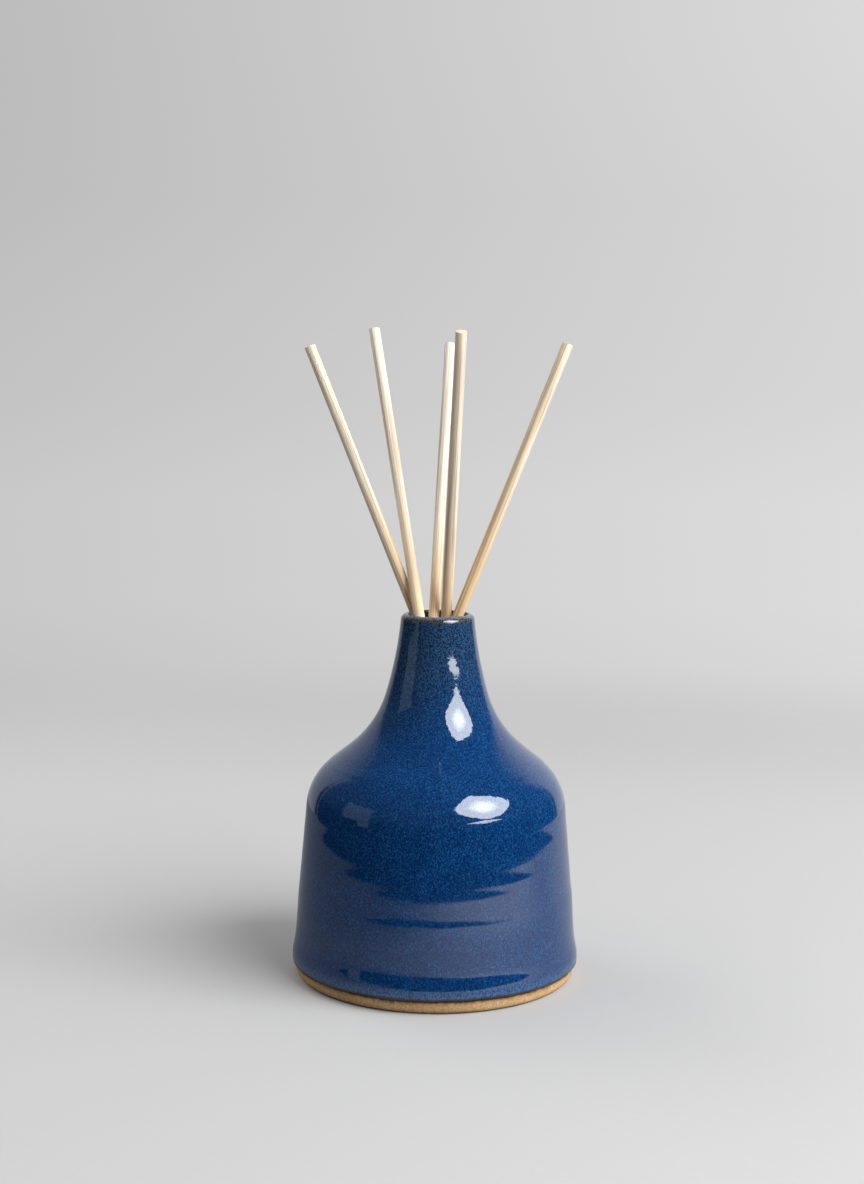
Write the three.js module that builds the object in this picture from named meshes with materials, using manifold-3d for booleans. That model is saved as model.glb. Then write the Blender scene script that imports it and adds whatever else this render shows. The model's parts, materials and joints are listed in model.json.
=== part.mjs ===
// Reed diffuser: a glazed stoneware bottle with a bare clay foot, scented oil inside, and five wooden reeds.
// Millimetres, +Z up. The origin is the centre of the foot's underside, on the table; -Y is the front.
import * as THREE from 'three';
import Module from 'manifold-3d';
import { mergeVertices } from 'three/addons/utils/BufferGeometryUtils.js';

const wasm = await Module();
wasm.setup();

// Outside of the bottle, from the foot up. A lean is the angle in degrees between the wall and the upright.
const WIDEST_RADIUS = 39.8;      // just above the foot
const WIDEST_HEIGHT = 6;
const WALL_LEAN = 5;
const WALL_LENGTH = 41.6;
const SHOULDER_RADIUS = 16.7;    // round shoulder, turning in from the wall to the slope
const SLOPE_LEAN = 51.5;
const SLOPE_LENGTH = 7.3;
const SWEEP_RADIUS = 29.8;       // hollow sweep, turning up from the slope to the neck
const NECK_LEAN = 16.4;
const NECK_RADIUS = 111;         // long hollow curve of the neck
const LIP_LEAN = 5.4;

// Foot
const FOOT_RADIUS = 38.6;        // where it meets the table
const FOOT_EDGE = 0.3;           // worn edge at the table
const GLAZE_LINE = 4;            // height at which the glaze stops
const GLAZE_ROLL = 0.6;          // rounded bottom edge of the glaze

// Wall
const BODY_THICKNESS = 4.5;      // glaze and clay together, in the body
const LIP_THICKNESS = 2.1;       // the same at the neck and lip
const THICKNESS_FALLS_FROM = 46; // heights between which the wall thins
const THICKNESS_FALLS_TO = 84;
const FLOOR_HEIGHT = 6;          // top of the glazed floor inside
const FLOOR_FILLET = 3;
const GLAZE = 0.35;              // thickness of the glaze
const BOND = 0.15;               // gap between the glaze and the clay under it

// Oil
const OIL_LEVEL = 52;
const OIL_GAP = 0.3;

// Reeds: each stands with its foot on the floor inside and its side by the rim.
const REED_DIAMETER = 3;
const REED_LENGTH = 180;
const REED_CHAMFER = 0.15;       // broken edge of the cut ends
const REED_GAP = 0.3;
const MOUTH_HEIGHT = 99;         // height at which the second point of each reed is given
const REEDS = [
  { name: 'reed_1', foot: [31.0, 11.6], mouth: [-5.6, 2.1] },
  { name: 'reed_2', foot: [11.0, -27.6], mouth: [-4.85, -3.9] },
  { name: 'reed_3', foot: [-5.9, -32.7], mouth: [-1.1, 2.0] },
  { name: 'reed_4', foot: [-1.2, 33.2], mouth: [2.3, 1.7] },
  { name: 'reed_5', foot: [-30.5, 3.7], mouth: [5.1, -0.4] },
];

const BOTTLE_SEGMENTS = 48;
const REED_SEGMENTS = 16;
const TUNNEL_SEGMENTS = 12;

const clay = new THREE.MeshStandardMaterial({ color: 0xc49a6b, roughness: 0.85, metalness: 0 });
const blueGlaze = new THREE.MeshStandardMaterial({ color: 0x27509f, roughness: 0.12, metalness: 0 });
const oil = new THREE.MeshStandardMaterial({
  color: 0xe3c98a, roughness: 0.05, metalness: 0, transparent: true, opacity: 0.5,
});
const wood = new THREE.MeshStandardMaterial({ color: 0xd8bd94, roughness: 0.75, metalness: 0 });

const radians = THREE.MathUtils.degToRad;

// Outline of the outside, as stations { r, z, lean }: straight runs, and arcs that turn from one lean to the next.
function outsideStations() {
  const stations = [];
  let r = WIDEST_RADIUS;
  let z = WIDEST_HEIGHT;
  let lean = radians(WALL_LEAN);
  const mark = () => stations.push({ r, z, lean });
  const straight = (length, steps) => {
    for (let i = 0; i < steps; i++) {
      r -= (length / steps) * Math.sin(lean);
      z += (length / steps) * Math.cos(lean);
      mark();
    }
  };
  const turn = (radius, toLean, steps) => {
    const from = lean;
    const side = Math.sign(toLean - from);
    for (let i = 1; i <= steps; i++) {
      const next = from + (toLean - from) * (i / steps);
      r += side * radius * (Math.cos(next) - Math.cos(lean));
      z += side * radius * (Math.sin(next) - Math.sin(lean));
      lean = next;
      mark();
    }
  };
  mark();
  straight(WALL_LENGTH, 2);
  turn(SHOULDER_RADIUS, radians(SLOPE_LEAN), 5);
  straight(SLOPE_LENGTH, 1);
  turn(SWEEP_RADIUS, radians(NECK_LEAN), 4);
  turn(NECK_RADIUS, radians(LIP_LEAN), 3);
  return stations;
}

const outside = outsideStations();
const rim = outside[outside.length - 1];

// Thickness of the whole wall at a height: thick in the body, thin in the neck, with a smooth change between.
function wallThickness(z) {
  return THREE.MathUtils.lerp(
    BODY_THICKNESS, LIP_THICKNESS, THREE.MathUtils.smoothstep(z, THICKNESS_FALLS_FROM, THICKNESS_FALLS_TO));
}

// A station moved into the wall, square to its surface.
function sunk({ r, z, lean }, depth) {
  return new THREE.Vector2(r - depth * Math.cos(lean), z - depth * Math.sin(lean));
}

// Outside of the bottle at a depth below the glazed surface, from the widest ring to the rim.
function outerSide(depth) {
  return outside.map((station) => sunk(station, depth));
}

// Inside of the bottle, the same way up, at a depth below its glazed surface.
function innerSide(depth) {
  return outside
    .map((station) => sunk(station, wallThickness(station.z) - depth))
    .filter((point) => point.y > FLOOR_HEIGHT + FLOOR_FILLET + 1);
}

// Round lip over the top of the wall, from the outside to the inside.
function lip(depth) {
  const centre = sunk(rim, LIP_THICKNESS / 2);
  const radius = LIP_THICKNESS / 2 - depth;
  const steps = 4;
  return Array.from({ length: steps - 1 }, (_, i) => {
    const angle = radians(LIP_LEAN) + Math.PI * ((i + 1) / steps);
    return new THREE.Vector2(centre.x + radius * Math.cos(angle), centre.y + radius * Math.sin(angle));
  });
}

// Inside floor at a depth below its glazed surface, from the fillet at the wall in to the axis.
function insideFloor(depth) {
  const wall = WIDEST_RADIUS - BODY_THICKNESS;
  const centre = new THREE.Vector2(wall - FLOOR_FILLET, FLOOR_HEIGHT + FLOOR_FILLET);
  const radius = FLOOR_FILLET + depth;
  const steps = 3;
  const fillet = Array.from({ length: steps + 1 }, (_, i) => {
    const angle = -(Math.PI / 2) * (i / steps);
    return new THREE.Vector2(centre.x + radius * Math.cos(angle), centre.y + radius * Math.sin(angle));
  });
  return [...fillet, new THREE.Vector2(0, FLOOR_HEIGHT - depth)];
}

// Solid of revolution about Z; its profile runs from the axis, out and round, and back to the axis.
function turned(profile, segments) {
  const geometry = new THREE.LatheGeometry(profile, segments);
  geometry.rotateX(Math.PI / 2);
  return geometry;
}

function stonewareBody() {
  const underGlaze = GLAZE + BOND;
  return turned([
    new THREE.Vector2(0, 0),
    new THREE.Vector2(FOOT_RADIUS - FOOT_EDGE, 0),
    new THREE.Vector2(FOOT_RADIUS, FOOT_EDGE),
    new THREE.Vector2(WIDEST_RADIUS - underGlaze, GLAZE_LINE - BOND),
    ...outerSide(underGlaze),
    ...lip(underGlaze),
    ...innerSide(underGlaze).reverse(),
    ...insideFloor(underGlaze),
  ], BOTTLE_SEGMENTS);
}

function glazeCoat() {
  const back = GLAZE;
  return turned([
    ...insideFloor(back).reverse(),
    ...innerSide(back),
    ...lip(back).reverse(),
    ...outerSide(back).reverse(),
    new THREE.Vector2(WIDEST_RADIUS - back, GLAZE_LINE),
    new THREE.Vector2(WIDEST_RADIUS - 0.1, GLAZE_LINE),
    new THREE.Vector2(WIDEST_RADIUS + 0.05, GLAZE_LINE + GLAZE_ROLL),
    ...outerSide(0),
    ...lip(0),
    ...innerSide(0).reverse(),
    ...insideFloor(0),
  ], BOTTLE_SEGMENTS);
}

// Resting place and direction of a reed: its lower end sits just clear of the floor.
function reedLine({ foot, mouth }) {
  const radius = REED_DIAMETER / 2;
  const low = new THREE.Vector3(foot[0], foot[1], FLOOR_HEIGHT + REED_GAP);
  const high = new THREE.Vector3(mouth[0], mouth[1], MOUTH_HEIGHT);
  const along = high.clone().sub(low).normalize();
  low.z += radius * Math.sqrt(1 - along.z * along.z);
  along.copy(high).sub(low).normalize();
  return { low, along };
}

// Round rod whose lower end is at the origin and which runs up +Z.
function rod(radius, length, chamfer, segments) {
  const profile = [
    new THREE.Vector2(0, 0),
    new THREE.Vector2(radius - chamfer, 0),
    new THREE.Vector2(radius, chamfer),
    new THREE.Vector2(radius, length - chamfer),
    new THREE.Vector2(radius - chamfer, length),
    new THREE.Vector2(0, length),
  ];
  return turned(profile, segments);
}

// Stands a rod on its line.
function stand(object, { low, along }) {
  object.position.copy(low);
  object.quaternion.setFromUnitVectors(new THREE.Vector3(0, 0, 1), along);
  return object;
}

function toSolid(geometry) {
  const bare = geometry.clone();
  bare.deleteAttribute('normal');
  bare.deleteAttribute('uv');
  const merged = mergeVertices(bare, 1e-4);
  return new wasm.Manifold(new wasm.Mesh({
    numProp: 3,
    vertProperties: Float32Array.from(merged.attributes.position.array),
    triVerts: Uint32Array.from(merged.index.array),
  }));
}

function toGeometry(solid) {
  const mesh = solid.getMesh();
  const geometry = new THREE.BufferGeometry();
  geometry.setAttribute('position', new THREE.BufferAttribute(mesh.vertProperties, 3));
  geometry.setIndex(new THREE.BufferAttribute(mesh.triVerts, 1));
  geometry.computeVertexNormals();
  return geometry;
}

// The oil fills the inside up to its level, with a clear way round each reed, right along the reed's line.
function fragranceOil() {
  const side = innerSide(-OIL_GAP);
  const last = side.findIndex((point) => point.y > OIL_LEVEL);
  const [below, above] = [side[last - 1], side[last]];
  const surface = below.clone().lerp(above, (OIL_LEVEL - below.y) / (above.y - below.y));
  let body = toSolid(turned([
    ...insideFloor(-OIL_GAP).reverse(),
    ...side.slice(0, last),
    surface,
    new THREE.Vector2(0, OIL_LEVEL),
  ], BOTTLE_SEGMENTS));
  for (const reed of REEDS) {
    const tunnel = rod(REED_DIAMETER / 2 + OIL_GAP, REED_LENGTH, 0, TUNNEL_SEGMENTS);
    tunnel.translate(0, 0, -10);
    const line = stand(new THREE.Object3D(), reedLine(reed));
    line.updateMatrix();
    tunnel.applyMatrix4(line.matrix);
    body = body.subtract(toSolid(tunnel));
  }
  return toGeometry(body);
}

function part(name, geometry, material) {
  const mesh = new THREE.Mesh(geometry, material);
  mesh.name = name;
  return mesh;
}

const diffuser = new THREE.Group();
diffuser.add(part('stoneware_body', stonewareBody(), clay));
diffuser.add(part('glaze_coat', glazeCoat(), blueGlaze));
diffuser.add(part('fragrance_oil', fragranceOil(), oil));
for (const reed of REEDS) {
  const geometry = rod(REED_DIAMETER / 2, REED_LENGTH, REED_CHAMFER, REED_SEGMENTS);
  diffuser.add(stand(part(reed.name, geometry, wood), reedLine(reed)));
}

export default diffuser;
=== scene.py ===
"""Reed diffuser: a thrown stoneware bottle in speckled blue glaze, scented oil inside, and five wooden reeds."""
import json
import math

import bpy
from mathutils import Euler, Matrix, Vector


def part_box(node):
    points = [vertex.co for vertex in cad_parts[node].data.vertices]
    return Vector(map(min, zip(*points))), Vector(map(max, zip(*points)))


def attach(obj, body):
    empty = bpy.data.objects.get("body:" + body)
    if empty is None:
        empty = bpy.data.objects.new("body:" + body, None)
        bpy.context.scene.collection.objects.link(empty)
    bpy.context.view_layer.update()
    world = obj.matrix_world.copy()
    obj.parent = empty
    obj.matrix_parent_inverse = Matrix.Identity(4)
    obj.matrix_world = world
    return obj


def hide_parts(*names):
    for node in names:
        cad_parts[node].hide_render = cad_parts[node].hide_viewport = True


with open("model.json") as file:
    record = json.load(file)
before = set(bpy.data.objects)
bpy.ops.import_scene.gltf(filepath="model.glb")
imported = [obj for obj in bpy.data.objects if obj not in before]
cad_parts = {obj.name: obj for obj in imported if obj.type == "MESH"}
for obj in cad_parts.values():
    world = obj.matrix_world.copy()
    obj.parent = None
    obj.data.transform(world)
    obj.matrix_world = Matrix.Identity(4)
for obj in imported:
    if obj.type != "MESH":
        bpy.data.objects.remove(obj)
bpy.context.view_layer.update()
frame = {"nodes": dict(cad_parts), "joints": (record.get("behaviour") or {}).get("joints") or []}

MM = 0.001

# Bottle outline, in millimetres and degrees. A lean is the angle between the wall and the upright.
WIDEST_RADIUS = 39.8
WIDEST_HEIGHT = 6.0
WALL_LEAN, WALL_LENGTH = 5.0, 41.6
SHOULDER_RADIUS, SLOPE_LEAN, SLOPE_LENGTH = 16.7, 51.5, 7.3
SWEEP_RADIUS, NECK_LEAN = 29.8, 16.4
NECK_RADIUS, LIP_LEAN = 111.0, 5.4
FOOT_RADIUS = 38.6
GLAZE_LINE = 4.0                  # the glaze stops at this height above the table
BODY_THICKNESS, LIP_THICKNESS = 4.5, 2.1
THICKNESS_FALLS_FROM, THICKNESS_FALLS_TO = 46.0, 84.0
FLOOR_HEIGHT, FLOOR_FILLET = 6.0, 3.0
GLAZE_THICKNESS, BOND = 0.35, 0.15
LIP_TURNS_AT = 98.9
LIP_CREST = (8.55, 100.6)         # radius and height of the top of the lip
LIP_OUTER_RADIUS, LIP_INNER_RADIUS = 10.21, 8.06
LIP_INSIDE_TURNS_AT = 99.3
TURNS = 144                       # steps round the bottle
WELD = 0.004                      # points closer than this are one point
CREASE = 40                       # edges sharper than this stay crisp

REED_DIAMETER = 3.0
REED_BROKEN_EDGE, REED_UNEVENNESS = 0.07, 0.05
REED_CUTS = 23                    # rings of points along a reed
SAME_PLACE = 0.01                 # points of one rim agree this closely


# ---------------------------------------------------------------- outline of the bottle

def smooth_step(value, low, high):
    t = min(max((value - low) / (high - low), 0.0), 1.0)
    return t * t * (3 - 2 * t)


def stations_up_the_outside(arc_step, straight_step):
    """Outside of the glaze from the widest ring to the rim, as (radius, height, lean in radians)."""
    r, z, lean = WIDEST_RADIUS, WIDEST_HEIGHT, math.radians(WALL_LEAN)
    stations = [(r, z, lean)]

    def straight(length):
        nonlocal r, z
        count = max(1, round(length / straight_step))
        for _ in range(count):
            r -= length / count * math.sin(lean)
            z += length / count * math.cos(lean)
            stations.append((r, z, lean))

    def turn(radius, to_lean):
        nonlocal r, z, lean
        start, target = lean, math.radians(to_lean)
        side = 1 if target > start else -1
        count = max(2, round(abs(target - start) * radius / arc_step))
        for i in range(1, count + 1):
            following = start + (target - start) * i / count
            r += side * radius * (math.cos(following) - math.cos(lean))
            z += side * radius * (math.sin(following) - math.sin(lean))
            lean = following
            stations.append((r, z, lean))

    straight(WALL_LENGTH)
    turn(SHOULDER_RADIUS, SLOPE_LEAN)
    straight(SLOPE_LENGTH)
    turn(SWEEP_RADIUS, NECK_LEAN)
    turn(NECK_RADIUS, LIP_LEAN)
    return stations


def wall_thickness(z):
    thinning = smooth_step(z, THICKNESS_FALLS_FROM, THICKNESS_FALLS_TO)
    return BODY_THICKNESS + (LIP_THICKNESS - BODY_THICKNESS) * thinning


def sunk(station, depth):
    r, z, lean = station
    return (r - depth * math.cos(lean), z - depth * math.sin(lean))


# Throwing rings left by the fingers on the wall: height, half-width and how far the wall steps in, in millimetres.
OUTER_WALL = 30.0                 # the wall, and not the neck, is farther out than this
RINGS_VARY_ABOVE = 20.0           # lower down, a ring has the same depth all round
THROWING_RINGS = [
    (8.3, 2.4, 0.272), (17.0, 5.0, -0.170), (23.9, 1.3, 0.054), (27.6, 1.2, -0.010), (30.7, 0.8, 0.008),
    (32.6, 0.8, -0.006), (34.4, 0.9, 0.012), (37.2, 1.0, -0.010), (41.7, 1.2, 0.018), (45.2, 0.9, -0.014),
]


def throwing_ring(z, around):
    """How far the wall stands out at a height, and at an angle round from the right-hand side."""
    depth = 0.0
    for number, (height, width, step) in enumerate(THROWING_RINGS):
        drift = (0.35 * math.sin(around * 2 + number) + 0.18 * math.sin(around * 5 + 2.1 * number)
                 + 0.10 * math.sin(around * 15 + 1.3 * number))
        strength = 1.0
        if height > RINGS_VARY_ABOVE:
            strength += 0.45 * math.cos(around) + 0.25 * math.sin(3 * around + number)
        depth -= step * strength * math.tanh((z - height - drift) / width)
    return depth


def outer_side():
    """Outside of the glaze, up to where the lip starts to round over."""
    return [(r, z) for r, z, _ in stations_up_the_outside(0.6, 0.5) if z < LIP_TURNS_AT]


def outside_under_glaze(depth):
    return [sunk(station, depth) for station in stations_up_the_outside(3.0, 5.0)]


def inner_side(depth, arc_step=2.0, straight_step=3.0):
    side = [sunk(s, wall_thickness(s[1]) - depth) for s in stations_up_the_outside(arc_step, straight_step)]
    return [point for point in side if point[1] > FLOOR_HEIGHT + FLOOR_FILLET + 1]


def rolled_lip(steps):
    """Glazed lip: a broad roll on the outside and a tighter one on the inside."""
    quarter = [math.pi / 2 * i / steps for i in range(1, steps + 1)]
    crest, top = LIP_CREST
    outer = (LIP_OUTER_RADIUS - crest, top - LIP_TURNS_AT)
    inner = (crest - LIP_INNER_RADIUS, top - LIP_INSIDE_TURNS_AT)
    out_side = [(crest + outer[0] * math.cos(a), LIP_TURNS_AT + outer[1] * math.sin(a)) for a in quarter]
    in_side = [(crest - inner[0] * math.sin(a), top - inner[1] + inner[1] * math.cos(a)) for a in quarter]
    return out_side + in_side


def lip_under_glaze(depth, steps):
    rim = stations_up_the_outside(2.0, 3.0)[-1]
    centre = sunk(rim, LIP_THICKNESS / 2)
    radius = LIP_THICKNESS / 2 - depth
    angles = [math.radians(LIP_LEAN) + math.pi * i / steps for i in range(1, steps)]
    return [(centre[0] + radius * math.cos(a), centre[1] + radius * math.sin(a)) for a in angles]


def inside_floor(depth, steps=6):
    wall = WIDEST_RADIUS - BODY_THICKNESS
    centre = (wall - FLOOR_FILLET, FLOOR_HEIGHT + FLOOR_FILLET)
    radius = FLOOR_FILLET + depth
    angles = [-math.pi / 2 * i / steps for i in range(steps + 1)]
    fillet = [(centre[0] + radius * math.cos(a), centre[1] + radius * math.sin(a)) for a in angles]
    flat = [(r, FLOOR_HEIGHT - depth) for r in (24.0, 12.0, 4.0, 0.0)]
    return fillet + flat


# ---------------------------------------------------------------- modelling

def drop_selection():
    if bpy.context.object and bpy.context.object.mode != "OBJECT":
        bpy.ops.object.mode_set(mode="OBJECT")
    bpy.ops.object.select_all(action="DESELECT")


def apply_modifier(piece, kind, **settings):
    bpy.context.view_layer.objects.active = piece
    modifier = piece.modifiers.new(kind.title(), kind)
    for key, value in settings.items():
        setattr(modifier, key, value)
    bpy.ops.object.modifier_apply(modifier=modifier.name)


def spun(name, profile):
    """Shape turned on the wheel: the profile is drawn point by point, then spun about the bottle's axis."""
    drop_selection()
    bpy.ops.mesh.primitive_plane_add(size=MM, location=(0, 0, 0))
    piece = bpy.context.object
    piece.name = piece.data.name = name
    bpy.ops.object.mode_set(mode="EDIT")
    bpy.ops.mesh.select_mode(type="VERT")
    bpy.ops.mesh.select_all(action="SELECT")
    bpy.ops.mesh.merge(type="CENTER")
    points = [Vector((r * MM, 0, z * MM)) for r, z in profile]
    bpy.ops.transform.translate(value=points[0])
    for before, after in zip(points, points[1:]):
        bpy.ops.mesh.extrude_vertices_move(TRANSFORM_OT_translate={"value": after - before})
    bpy.ops.mesh.select_all(action="SELECT")
    bpy.ops.mesh.spin(steps=TURNS, angle=2 * math.pi, center=(0, 0, 0), axis=(0, 0, 1))
    bpy.ops.mesh.select_all(action="SELECT")
    bpy.ops.mesh.remove_doubles(threshold=WELD * MM)
    bpy.ops.mesh.normals_make_consistent(inside=False)
    bpy.ops.object.mode_set(mode="OBJECT")
    bpy.ops.object.shade_smooth_by_angle(angle=math.radians(CREASE))
    return piece


def hand_wobble(name, size):
    texture = bpy.data.textures.new(name, "CLOUDS")
    texture.noise_scale = size * MM
    texture.noise_depth = 1
    return texture


def throw_body():
    """Fired clay bottle: flat underside, foot edge rounded by wear, bare bevel, wall, lip and inside."""
    under = GLAZE_THICKNESS + BOND
    foot_top = WIDEST_RADIUS - under
    profile = [
        (0.0, 0.0), (10.0, 0.0), (24.0, 0.0), (34.0, 0.0), (37.1, 0.0),
        (FOOT_RADIUS - 0.85, 0.05), (FOOT_RADIUS - 0.42, 0.22), (FOOT_RADIUS - 0.12, 0.52),
        (FOOT_RADIUS + 0.12, 1.0), (FOOT_RADIUS + 0.34, 1.7), (FOOT_RADIUS + 0.52, 2.6),
        (foot_top - 0.06, 3.3), (foot_top, 3.9), (foot_top, 4.8),
    ]
    profile += outside_under_glaze(under)
    profile += lip_under_glaze(under, 6)
    profile += inner_side(under, 3.0, 5.0)[::-1]
    profile += inside_floor(under, 4)
    return spun("clay_bottle", profile)


def press_rings(piece):
    """Throwing rings, on the points of the wall that face outwards."""
    facing = [vertex.normal.copy() for vertex in piece.data.vertices]
    for vertex, normal in zip(piece.data.vertices, facing):
        r = math.hypot(vertex.co.x, vertex.co.y)
        if r > OUTER_WALL * MM and normal.x * vertex.co.x + normal.y * vertex.co.y > 0.3 * r:
            around = math.atan2(vertex.co.y, vertex.co.x)
            out = 1 + throwing_ring(vertex.co.z / MM, around) * MM / r
            vertex.co.x, vertex.co.y = vertex.co.x * out, vertex.co.y * out
    piece.data.update()


def pour_glaze():
    """Glaze over the outside, the lip and the inside, with a thick rounded bottom edge."""
    back = GLAZE_THICKNESS
    edge = WIDEST_RADIUS
    profile = inside_floor(back, 4)[::-1]
    profile += inner_side(back, 3.0, 5.0)
    profile += lip_under_glaze(back, 6)[::-1]
    profile += outside_under_glaze(back)[::-1]
    # Bottom edge: how far in from the widest ring, and how far above the glaze line.
    profile += [(edge - inward, GLAZE_LINE + rise) for inward, rise in (
        (back, 0.6), (back - 0.02, -0.05), (0.22, -0.22), (0.12, -0.18), (0.05, -0.02), (0.01, 0.3),
        (0.0, 0.7), (0.0, 1.1), (0.0, 1.5))]
    profile += outer_side()
    profile += rolled_lip(8)
    profile += inner_side(0.0)[::-1]
    profile += inside_floor(0.0)
    piece = spun("glaze_skin", profile)
    press_rings(piece)
    low_edge = piece.vertex_groups.new(name="low edge")
    for vertex in piece.data.vertices:
        weight = 1 - smooth_step(vertex.co.z / MM, GLAZE_LINE, GLAZE_LINE + 2)
        if weight > 0 and math.hypot(vertex.co.x, vertex.co.y) > OUTER_WALL * MM:
            low_edge.add([vertex.index], weight, "REPLACE")
    apply_modifier(piece, "DISPLACE", texture=hand_wobble("glaze edge", 5.0), vertex_group="low edge",
                   direction="Z", mid_level=0.5, strength=0.7 * MM)
    return piece


# ---------------------------------------------------------------- finishes

class Socket:
    """A node's output, with arithmetic."""

    def __init__(self, finish, output):
        self.finish, self.output = finish, output

    def __add__(self, other): return self.finish.maths("ADD", self, other)
    def __radd__(self, other): return self.finish.maths("ADD", other, self)
    def __sub__(self, other): return self.finish.maths("SUBTRACT", self, other)
    def __rsub__(self, other): return self.finish.maths("SUBTRACT", other, self)
    def __mul__(self, other): return self.finish.maths("MULTIPLY", self, other)
    def __rmul__(self, other): return self.finish.maths("MULTIPLY", other, self)
    def __truediv__(self, other): return self.finish.maths("DIVIDE", self, other)
    def __rtruediv__(self, other): return self.finish.maths("DIVIDE", other, self)


class Finish:
    """A finish and the nodes it is mixed from."""

    def __init__(self, name, tree=None):
        if tree is None:
            self.material = bpy.data.materials.new(name)
            self.material.use_nodes = True
            tree = self.material.node_tree
        self.tree = tree
        tree.nodes.clear()

    def node(self, kind, settings=None, inputs=None, output=0):
        node = self.tree.nodes.new(kind)
        for key, value in (settings or {}).items():
            if key == "stops":
                ramp = node.color_ramp
                while len(ramp.elements) < len(value):
                    ramp.elements.new(0.5)
                for element, (place, colour) in zip(ramp.elements, value):
                    element.position, element.color = place, colour
            else:
                setattr(node, key, value)
        for key, value in (inputs or {}).items():
            if isinstance(value, Socket):
                self.tree.links.new(value.output, node.inputs[key])
            else:
                node.inputs[key].default_value = value
        return Socket(self, node.outputs[output])

    def maths(self, operation, first, second=0.0):
        return self.node("ShaderNodeMath", {"operation": operation}, {0: first, 1: second})

    def place(self, scale=(1, 1, 1), turn=(0, 0, 0)):
        """Where a point is on the piece, in metres, stretched and turned."""
        here = self.node("ShaderNodeTexCoord", output="Object")
        if scale == (1, 1, 1) and turn == (0, 0, 0):
            return here
        return self.node("ShaderNodeMapping", {}, {"Vector": here, "Scale": scale, "Rotation": turn})

    def noise(self, place, size, detail=2.0, roughness=0.5):
        """Noise from 0 to 1 whose features are about this many millimetres across."""
        return self.node("ShaderNodeTexNoise", {},
                         {"Vector": place, "Scale": 1 / (size * MM), "Detail": detail, "Roughness": roughness},
                         "Fac")

    def between(self, value, low, high, start=0.0, end=1.0):
        """Smooth change from start to end as the value goes from low to high."""
        return self.node("ShaderNodeMapRange", {"interpolation_type": "SMOOTHSTEP"},
                         {"Value": value, "From Min": low, "From Max": high, "To Min": start, "To Max": end})

    def mix(self, amount, first, second, blend="MIX"):
        return self.node("ShaderNodeMix", {"data_type": "RGBA", "blend_type": blend},
                         {"Factor": amount, "A": first, "B": second}, 2)

    def parts(self, vector):
        """The x, y and z of a vector."""
        return [self.node("ShaderNodeSeparateXYZ", {}, {0: vector}, axis) for axis in range(3)]

    def height(self):
        return self.parts(self.place())[2]

    def reach(self):
        """Distance out from the bottle's axis."""
        x, y, _ = self.parts(self.place())
        return self.maths("SQRT", x * x + y * y)

    def grey(self, level):
        return self.node("ShaderNodeCombineXYZ", {}, {0: level, 1: level, 2: level})

    def ray(self, kind):
        return self.node("ShaderNodeLightPath", output=f"Is {kind} Ray")

    def surface(self, bump=None, **inputs):
        values = {key.replace("_", " "): value for key, value in inputs.items()}
        if bump is not None:
            values["Normal"] = self.node("ShaderNodeBump", {}, {"Height": bump, "Strength": 1.0, "Distance": 1.0})
        shader = self.node("ShaderNodeBsdfPrincipled", {}, values)
        self.output(shader)
        return self.material

    def output(self, shader, kind="ShaderNodeOutputMaterial"):
        end = self.tree.nodes.new(kind)
        self.tree.links.new(shader.output, end.inputs["Surface"])


def colour(r, g, b):
    return (r, g, b, 1.0)


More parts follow.
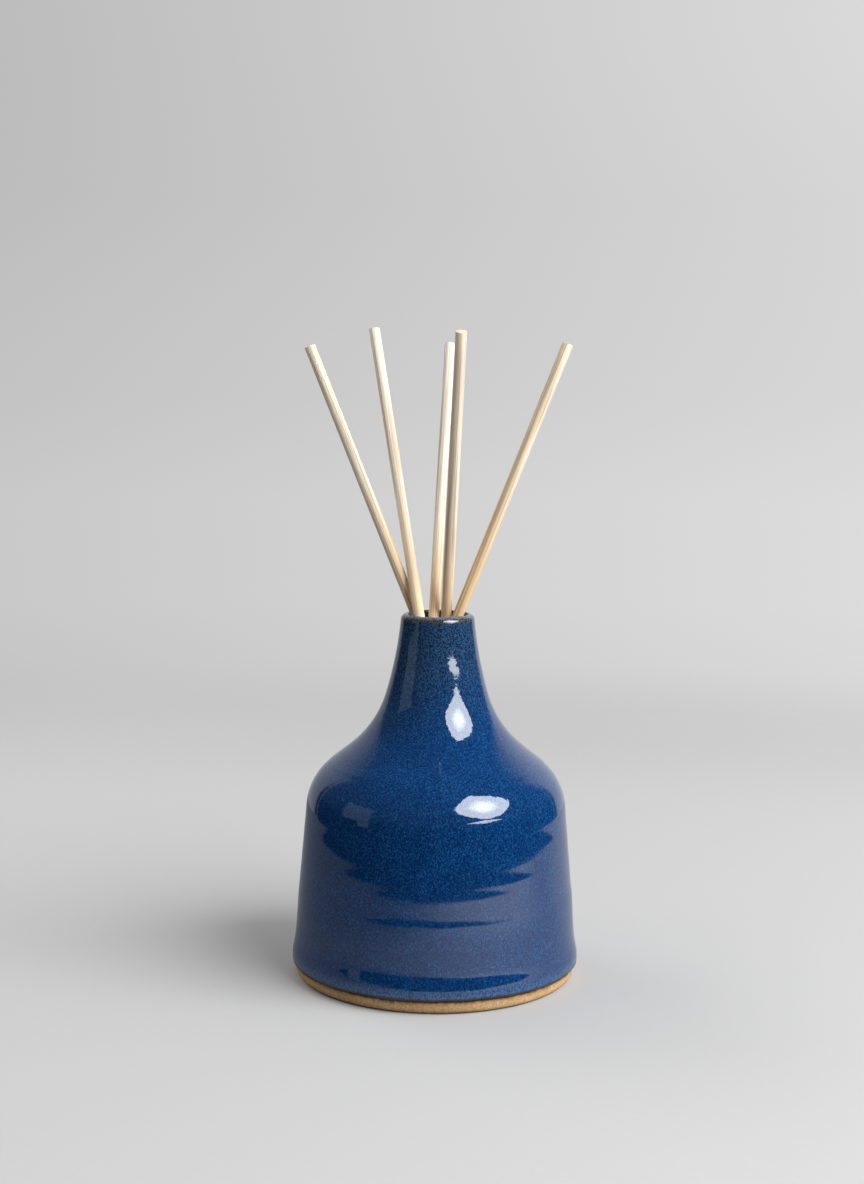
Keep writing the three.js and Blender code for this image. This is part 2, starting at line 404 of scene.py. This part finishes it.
def blue_glaze():
    f = Finish("speckled blue glaze")
    z = f.height()
    drawn = f.place(scale=(1, 1, 0.75))                   # glaze grain, drawn slightly down the wall
    fine = f.noise(drawn, 0.26, 1.0, 0.5)
    grain = f.noise(drawn, 0.44, 1.0, 0.5)
    cloud = f.noise(f.place(), 11.0, 2.0)
    band = f.noise(f.place(scale=(1, 1, 5.0)), 18.0, 2.0)

    navy, cobalt, bright = colour(0.0014, 0.017, 0.070), colour(0.0028, 0.038, 0.150), colour(0.013, 0.092, 0.250)
    speckle = fine * 0.55 + grain * 0.45
    base = f.mix(f.between(speckle, 0.38, 0.54), navy, cobalt)
    base = f.mix(f.between(speckle, 0.50, 0.66), base, bright)
    base = f.mix(f.between(cloud * 0.5 + band * 0.5, 0.40, 0.60, 0.0, 0.22), base, navy)

    iron = f.noise(f.place(), 1.7, 0.0)
    base = f.mix(f.between(iron, 0.83, 0.87, 0.0, 0.5), base, colour(0.060, 0.035, 0.030))

    thin = f.between(z, 66 * MM, 97 * MM)
    slate, olive = colour(0.030, 0.088, 0.180), colour(0.060, 0.062, 0.045)
    thinned = f.mix(f.between(speckle, 0.42, 0.58), colour(0.0015, 0.010, 0.030), slate)
    base = f.mix(thin * 0.65, base, thinned)
    base = f.mix(thin * f.between(fine, 0.55, 0.62, 0.0, 0.5), base, olive)

    ragged = (f.noise(f.place(), 0.6, 2.0, 0.6) - 0.5) * (3.2 * MM)
    broken = f.between(z + ragged, 98.5 * MM, 99.9 * MM)
    # Painted reflection: the top of the lip is coloured a lighter, greyer blue for the bright room it mirrors.
    crest = f.between(z + ragged * 0.12, 99.95 * MM, 100.2 * MM)
    toasted = f.mix(f.between(fine, 0.40, 0.58), colour(0.016, 0.013, 0.010), colour(0.125, 0.088, 0.040))
    base = f.mix(broken * f.between(grain, 0.34, 0.50, 0.5, 1.0), base, toasted)
    base = f.mix(crest, base, f.mix(f.between(speckle, 0.40, 0.60), colour(0.022, 0.050, 0.105),
                                    colour(0.12, 0.18, 0.27)))

    # Painted shade: the inside of the neck is coloured near-black for the shade down in the mouth.
    shade_in_the_mouth = (1 - f.between(f.reach(), 8.15 * MM, 8.45 * MM)) * f.between(z, 60 * MM, 80 * MM)
    base = f.mix(shade_in_the_mouth, base, f.mix(f.between(speckle, 0.45, 0.60), colour(0.003, 0.006, 0.014),
                                           colour(0.008, 0.022, 0.055)))

    # Painted reflection: the glaze's bottom roll is coloured a lighter, mottled blue for the pale floor it
    # mirrors.
    roll = 1 - f.between(z, 4.4 * MM, 7.5 * MM)
    base = f.mix(roll * f.between(grain, 0.35, 0.6, 0.1, 0.75), base, colour(0.045, 0.140, 0.320))
    # Near-black band along the bottom edge of the glaze.
    dark_edge_band = 1 - f.between(z + ragged * 0.25, 4.15 * MM, 4.6 * MM)
    base = f.mix(dark_edge_band, base, colour(0.030, 0.019, 0.012))

    hand = f.noise(f.place(scale=(1, 1, 4.0)), 24.0, 1.0, 0.4)
    peel = f.noise(f.place(), 1.5, 1.0, 0.4)
    curved = f.between(z, 47 * MM, 53 * MM, 0.10, 1.0)    # runs level on the wall, orange-peels on the curves
    bump = hand * (0.016 * MM) + peel * curved * (0.018 * MM)
    rough = 0.035 + 0.03 * grain + dark_edge_band * 0.4
    return f.surface(bump, Base_Color=base, Roughness=rough, IOR=1.6)


def bare_clay():
    f = Finish("bare buff stoneware")
    z = f.height()
    sand = f.noise(f.place(), 0.55, 3.0, 0.7)
    grog = f.noise(f.place(), 1.1, 2.0)
    patch = f.noise(f.place(), 9.0, 3.0)
    base = f.mix(f.between(sand, 0.32, 0.66), colour(0.52, 0.300, 0.130), colour(0.82, 0.555, 0.300))
    base = f.mix(f.between(patch, 0.35, 0.7, 0.0, 0.35), base, colour(0.52, 0.30, 0.13))
    base = f.mix(f.between(grog, 0.70, 0.76, 0.0, 0.6), base, colour(0.14, 0.085, 0.05))
    ragged = (f.noise(f.place(), 1.6, 3.0) - 0.5) * (1.1 * MM)
    # Near-black band on the clay, darkest right under the glaze's edge and fading out downwards.
    dark_edge_band = f.between(z + ragged * 0.6, 2.85 * MM, 3.55 * MM)
    toasted = f.between(z + ragged * 1.6, 1.9 * MM, 3.4 * MM, 0.0, 0.75)
    base = f.mix(toasted * f.between(grog, 0.35, 0.6, 0.5, 1.0), base, colour(0.20, 0.110, 0.050))
    base = f.mix(dark_edge_band, base, colour(0.040, 0.024, 0.015))
    # Painted shade: the foot is darkened where it curves under to the floor, standing in for the contact shadow.
    shade_under_foot = 1 - f.between(z, 0.05 * MM, 0.7 * MM)
    base = f.mix(shade_under_foot * 0.5, base, colour(0.20, 0.12, 0.07))
    bump = sand * (0.06 * MM) + grog * (0.03 * MM)
    return f.surface(bump, Base_Color=base, Roughness=0.78 + 0.15 * sand)


def reed_wood(name, along, pale, tan, groove, seed):
    """Straight-grained wood: the pattern runs along the reed."""
    f = Finish(name)
    turn = tuple(along.rotation_difference(Vector((0, 0, 1))).to_euler())
    upright = f.place(turn=turn)
    drawn = f.node("ShaderNodeMapping", {}, {"Vector": upright, "Scale": (1, 1, 0.010),
                                             "Location": (seed * 0.013, seed * 0.007, seed * 0.001)})
    fine = f.noise(drawn, 0.46, 1.0, 0.5)
    broad = f.noise(drawn, 0.95, 1.0, 0.5)
    patch = f.noise(upright, 14.0, 2.0)
    base = f.mix(f.between(broad * 0.5 + fine * 0.5, 0.40, 0.56), tan, pale)
    base = f.mix(f.between(fine, 0.53, 0.60, 0.0, 0.75), base, groove)
    base = f.mix(f.between(patch, 0.45, 0.7, 0.0, 0.2), base, tan)
    # Darker and warmer towards the mouth: partly oil soaked up into the wood, partly painted shade low among the
    # reeds.
    soaked_and_shaded = 1 - f.between(f.height(), 100 * MM, 140 * MM)
    base = f.mix(soaked_and_shaded * 0.8, base, f.mix(1.0, base, colour(0.98, 0.82, 0.60), "MULTIPLY"))
    bump = fine * (0.008 * MM) + broad * (0.012 * MM)
    return f.surface(bump, Base_Color=base, Roughness=0.62 + 0.2 * fine)


def scented_oil():
    f = Finish("scented oil")
    depth = f.between(f.height(), 6 * MM, 52 * MM)
    haze = f.noise(f.place(), 10.0, 2.0)
    base = f.mix(depth * 0.7 + haze * 0.3, colour(0.72, 0.48, 0.16), colour(0.90, 0.72, 0.36))
    return f.surface(None, Base_Color=base, Roughness=0.03 + 0.04 * haze, Transmission_Weight=0.9, IOR=1.46)


# ---------------------------------------------------------------- camera and studio

# The window and the slot of light that the glaze mirrors: azimuth from the front towards the right, and
# elevation, in degrees.
WINDOW_MIDDLE, WINDOW_HALF, WINDOW_ROUNDNESS = (49.5, 38.0), (31.0, 21.5), 1.55
SLOT_MIDDLE, SLOT_HALF = (44.0, 12.6), (18.5, 2.7)
DEGREES = 180 / math.pi
LAMPS_AIM_AT = 60.0


def set_camera():
    data = bpy.data.cameras.new("camera")
    data.lens, data.sensor_width = 54.73, 36.0
    camera = bpy.data.objects.new("camera", data)
    bpy.context.scene.collection.objects.link(camera)
    look = Euler((math.radians(90 - 6.48), 0, 0)).to_matrix() @ Matrix.Rotation(math.radians(0.535), 3, "Z")
    camera.location = (-1.66 * MM, -492.7 * MM, 162.5 * MM)
    camera.rotation_euler = look.to_euler()
    bpy.context.scene.camera = camera


def soft_lamp(name, azimuth, elevation, distance, width, height, brightness, aim=LAMPS_AIM_AT * MM):
    """Soft lamp facing the bottle; azimuth turns from the front towards the right. What the glaze mirrors is
    drawn on the studio walls instead, so the lamp itself is not mirrored."""
    data = bpy.data.lights.new(name, "AREA")
    data.shape, data.size, data.size_y = "ELLIPSE", width, height
    data.energy = brightness * math.pi * (width * height * math.pi / 4)
    lamp = bpy.data.objects.new(name, data)
    bpy.context.scene.collection.objects.link(lamp)
    a, e = math.radians(azimuth), math.radians(elevation)
    way = Vector((math.cos(e) * math.sin(a), -math.cos(e) * math.cos(a), math.sin(e)))
    lamp.location = Vector((0, 0, aim)) + way * distance
    lamp.rotation_euler = way.to_track_quat("Z", "Y").to_euler()
    lamp.visible_camera = False
    lamp.visible_glossy = False


def lay_floor():
    drop_selection()
    bpy.ops.mesh.primitive_circle_add(vertices=96, radius=1.2, fill_type="TRIFAN", location=(0, 0, -0.15 * MM))
    floor = bpy.context.object
    floor.name = "floor"
    bpy.ops.object.transform_apply(location=True)
    f = Finish("pale floor")
    x, y, _ = f.parts(f.place())
    reach = f.reach()
    grain = f.noise(f.place(), 2.0, 2.0)
    mirrored, bounced = f.ray("Glossy"), f.ray("Diffuse")
    pale = f.mix(grain, colour(0.475, 0.475, 0.475), colour(0.49, 0.49, 0.49))
    tone = f.mix(mirrored, f.mix(bounced, pale, colour(0.25, 0.25, 0.25)), colour(0.2, 0.2, 0.2))
    paper = f.node("ShaderNodeBsdfDiffuse", {}, {"Color": tone})
    # A weak glow evens out the paper, and stops at the foot so that the contact shadow stays.
    glow = 0.018 + 0.070 * f.between(y, -0.02, 0.25) + 0.038 * (1 - f.between(x, -0.22, 0.08))
    glow = glow * f.between(reach, 0.0375, 0.0415) * (1 - bounced * 0.7)
    sheen = f.between(x, -0.15, 0.20, 0.0, 1.2)           # the floor gleams towards the window
    sheen = sheen * (1 - 0.65 * f.between(y, -0.10, 0.02))
    lift = f.node("ShaderNodeEmission", {}, {"Strength": glow * (1 - mirrored) + sheen * mirrored})
    paper = f.node("ShaderNodeAddShader", {}, {0: paper, 1: lift})
    far = f.between(reach, 0.22, 0.60)
    table_edge = f.between(reach, 0.296, 0.304)
    clear = far * (1 - mirrored) + table_edge * mirrored
    air = f.node("ShaderNodeBsdfTransparent")
    f.output(f.node("ShaderNodeMixShader", {}, {0: clear, 1: paper, 2: air}))
    floor.data.materials.append(f.material)


def grey_stops(*pairs):
    return [(place, (level, level, level, 1.0)) for place, level in pairs]


def backdrop_seen(f, x, z):
    """Seamless paper behind the bottle: bright behind the neck, and a little brighter to the right."""
    sweep = f.node("ShaderNodeValToRGB", {"stops": grey_stops(
        (0.0, 0.600), (0.12, 0.597), (0.213, 0.611), (0.305, 0.646), (0.397, 0.647), (0.488, 0.612),
        (0.668, 0.587), (0.82, 0.600), (1.0, 0.600))}, {0: (z + 0.3) / 0.6})
    sideways = f.node("ShaderNodeMapRange", {}, {"Value": x, "From Min": -0.35, "From Max": 0.35,
                                                 "To Min": -0.35, "To Max": 0.35})
    return f.mix(1.0, sweep, f.grey(sideways * (0.28 + f.between(z, 0.0, 0.2, 0.0, 0.14))), "ADD")


def room_mirrored(f, x, y, z):
    """What the glaze mirrors: the window, a slot of light under it, a card on the left, and the backdrop."""
    azimuth = f.maths("ARCTAN2", x, 0 - y) * DEGREES
    elevation = f.maths("ARCSINE", z) * DEGREES

    # The backdrop as the flanks mirror it, with the pale seam down its edge.
    turned = y + f.between(z, 0.0, 0.7, 0.0, 0.14)
    pale = f.between(x, -0.5, 0.5, 0.42, 0.78)
    soft = f.between(z, 0.15, 0.75, 0.0, 0.24)
    behind = f.between(turned, 0.640 - soft, 0.72) * pale
    behind = behind + f.between(turned, 0.594, 0.600) * 0.30 - f.between(turned, 0.612, 0.618) * 0.30
    behind = behind * (1 - f.between(z, 0.40, 0.90))

    card = f.between(azimuth, -91.0, -89.0) * (1 - f.between(azimuth, -61.0, -59.5))
    card = card * f.between(elevation, -4.0, -3.5) * (1 - f.between(elevation, 24.0, 26.0))
    notch = f.between(azimuth, -90.0, -89.0) * (1 - f.between(azimuth, -72.0, -71.0))
    card = card * (1 - notch * (1 - f.between(elevation, 3.0, 4.0)))

    across = f.maths("ABSOLUTE", (azimuth - WINDOW_MIDDLE[0]) / WINDOW_HALF[0])
    upward = f.maths("ABSOLUTE", (elevation - WINDOW_MIDDLE[1]) / WINDOW_HALF[1])
    spread = f.maths("POWER", across, WINDOW_ROUNDNESS) + f.maths("POWER", upward, WINDOW_ROUNDNESS)
    window = (1 - f.between(spread, 0.96, 1.0)) * (10.0 + 10.0 * (1 - f.between(spread, 0.0, 0.5)))
    beside = f.maths("ABSOLUTE", (azimuth - SLOT_MIDDLE[0]) / SLOT_HALF[0])
    above = f.maths("ABSOLUTE", (elevation - SLOT_MIDDLE[1]) / SLOT_HALF[1])
    window = window + (1 - f.between(beside + above, 0.9, 1.0)) * 9.0

    room = behind + 0.010 + 0.05 * f.between(elevation, 2.0, 14.0)
    return f.node("ShaderNodeCombineXYZ", {}, {0: room + card * 0.28 + window * 0.95,
                                               1: room + card * 0.36 + window,
                                               2: room + card * 0.42 + window * 1.06})


def hang_backdrop():
    """Studio walls: the backdrop for the camera, the mirrored room for gloss, and weak fill light for the rest."""
    world = bpy.data.worlds.new("studio")
    bpy.context.scene.world = world
    world.use_nodes = True
    f = Finish("studio", world.node_tree)
    x, y, z = f.parts(f.node("ShaderNodeTexCoord", output="Generated"))
    fill = 0.06 + 0.36 * f.between(y, 0.0, 0.8) + 0.14 * f.between(x, -0.2, 0.8) + 0.10 * f.between(z, 0.2, 0.9)
    light = f.mix(f.ray("Glossy"), f.grey(fill), room_mirrored(f, x, y, z))
    light = f.mix(f.ray("Camera"), light, backdrop_seen(f, x, z))
    f.output(f.node("ShaderNodeBackground", {}, {"Color": light}), "ShaderNodeOutputWorld")


# ---------------------------------------------------------------- the diffuser

def finish_piece(piece, material, body, slot, *nodes):
    piece.data.materials.clear()
    piece.data.materials.append(material)
    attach(piece, body)
    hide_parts(*nodes)


set_camera()
bpy.context.scene.view_settings.view_transform = "Standard"
hang_backdrop()
lay_floor()
soft_lamp("window", 54, 38, 0.85, 0.90, 0.66, 7.5)
soft_lamp("right bounce", 88, 22, 0.90, 0.80, 0.60, 1.6)
soft_lamp("back left", -128, 32, 0.90, 0.70, 0.50, 2.6)
soft_lamp("reflector by the reeds", -80, 30, 0.42, 0.34, 0.20, 1.6, aim=160 * MM)

finish_piece(throw_body(), bare_clay(), "bottle", "bare_clay", "stoneware_body")
finish_piece(pour_glaze(), blue_glaze(), "bottle", "blue_glaze", "glaze_coat")

oil = frame["nodes"]["fragrance_oil"]
oil.data.materials.clear()
oil.data.materials.append(scented_oil())

# Tones of the five reeds: pale wood, tan wood, grain lines.
REED_TONES = {
    "reed_1": ((0.90, 0.82, 0.69), (0.82, 0.69, 0.51), (0.54, 0.36, 0.21)),
    "reed_2": ((0.91, 0.85, 0.74), (0.86, 0.76, 0.61), (0.62, 0.46, 0.31)),
    "reed_3": ((0.92, 0.87, 0.77), (0.87, 0.79, 0.66), (0.64, 0.50, 0.35)),
    "reed_4": ((0.86, 0.76, 0.62), (0.77, 0.63, 0.47), (0.48, 0.35, 0.23)),
    "reed_5": ((0.90, 0.80, 0.63), (0.81, 0.66, 0.46), (0.52, 0.34, 0.17)),
}


def reed_blank(length):
    """One reed along Z, its middle at the origin: a rod whose cut ends have broken edges and a slight dish."""
    drop_selection()
    radius = REED_DIAMETER / 2 * MM
    bpy.ops.mesh.primitive_cylinder_add(vertices=32, radius=radius, depth=length, end_fill_type="NGON")
    blank = bpy.context.object
    bpy.ops.object.mode_set(mode="EDIT")
    bpy.ops.mesh.select_mode(type="FACE")
    bpy.ops.mesh.select_all(action="DESELECT")
    bpy.ops.object.mode_set(mode="OBJECT")
    for face in blank.data.polygons:
        face.select = abs(face.normal.z) > 0.9
    bpy.ops.object.mode_set(mode="EDIT")
    bpy.ops.mesh.inset(thickness=0.10 * MM, depth=0)
    bpy.ops.mesh.inset(thickness=0.45 * MM, depth=-0.02 * MM)
    bpy.ops.mesh.inset(thickness=0.55 * MM, depth=-0.03 * MM)
    bpy.ops.mesh.poke()
    bpy.ops.mesh.select_all(action="DESELECT")
    bpy.ops.mesh.select_mode(type="EDGE")
    bpy.ops.object.mode_set(mode="OBJECT")
    verts = blank.data.vertices
    for edge in blank.data.edges:
        ends = [verts[i].co for i in edge.vertices]
        at_rim = all(abs(math.hypot(c.x, c.y) - radius) < SAME_PLACE * MM for c in ends)
        edge.select = at_rim and abs(ends[0].z - ends[1].z) < SAME_PLACE * MM
    bpy.ops.object.mode_set(mode="EDIT")
    bpy.ops.mesh.bevel(offset=REED_BROKEN_EDGE * MM, segments=2, affect="EDGES")
    bpy.ops.mesh.select_all(action="DESELECT")
    bpy.ops.object.mode_set(mode="OBJECT")
    for edge in blank.data.edges:
        ends = [blank.data.vertices[i].co for i in edge.vertices]
        edge.select = abs(ends[0].z - ends[1].z) > length / 2
    bpy.ops.object.mode_set(mode="EDIT")
    bpy.ops.mesh.subdivide(number_cuts=REED_CUTS)
    bpy.ops.object.mode_set(mode="OBJECT")
    bpy.ops.object.shade_smooth_by_angle(angle=math.radians(35))
    return blank


def reed_line(node, joint):
    """Middle, direction and length of a reed, from its box and the joint it slides on."""
    low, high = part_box(node)
    along = Vector(joint["axis"]).normalized()
    slant = math.sqrt(1 - along.z ** 2)
    length = ((high.z - low.z) - REED_DIAMETER * MM * slant) / along.z
    return (low + high) / 2, along, length


lines = {joint["child"]: reed_line(joint["child"], joint) for joint in frame["joints"]}
blank = reed_blank(max(length for _, _, length in lines.values()))
for number, (node, (middle, along, _)) in enumerate(sorted(lines.items()), 1):
    reed = blank.copy()
    reed.data = blank.data.copy()
    reed.name = reed.data.name = f"wooden_{node}"
    bpy.context.scene.collection.objects.link(reed)
    spread = hand_wobble(f"{node} shape", 9.0 + number)
    apply_modifier(reed, "DISPLACE", texture=spread, strength=REED_UNEVENNESS * MM, mid_level=0.5)
    turn = Vector((0, 0, 1)).rotation_difference(along).to_matrix().to_4x4()
    spin = Matrix.Rotation(math.radians(70 * number), 4, "Z")
    reed.data.transform(Matrix.Translation(middle) @ turn @ spin)
    tones = [colour(*tone) for tone in REED_TONES[node]]
    finish_piece(reed, reed_wood(f"{node} wood", along, *tones, number), node, "reed_wood", node)
bpy.data.objects.remove(blank)
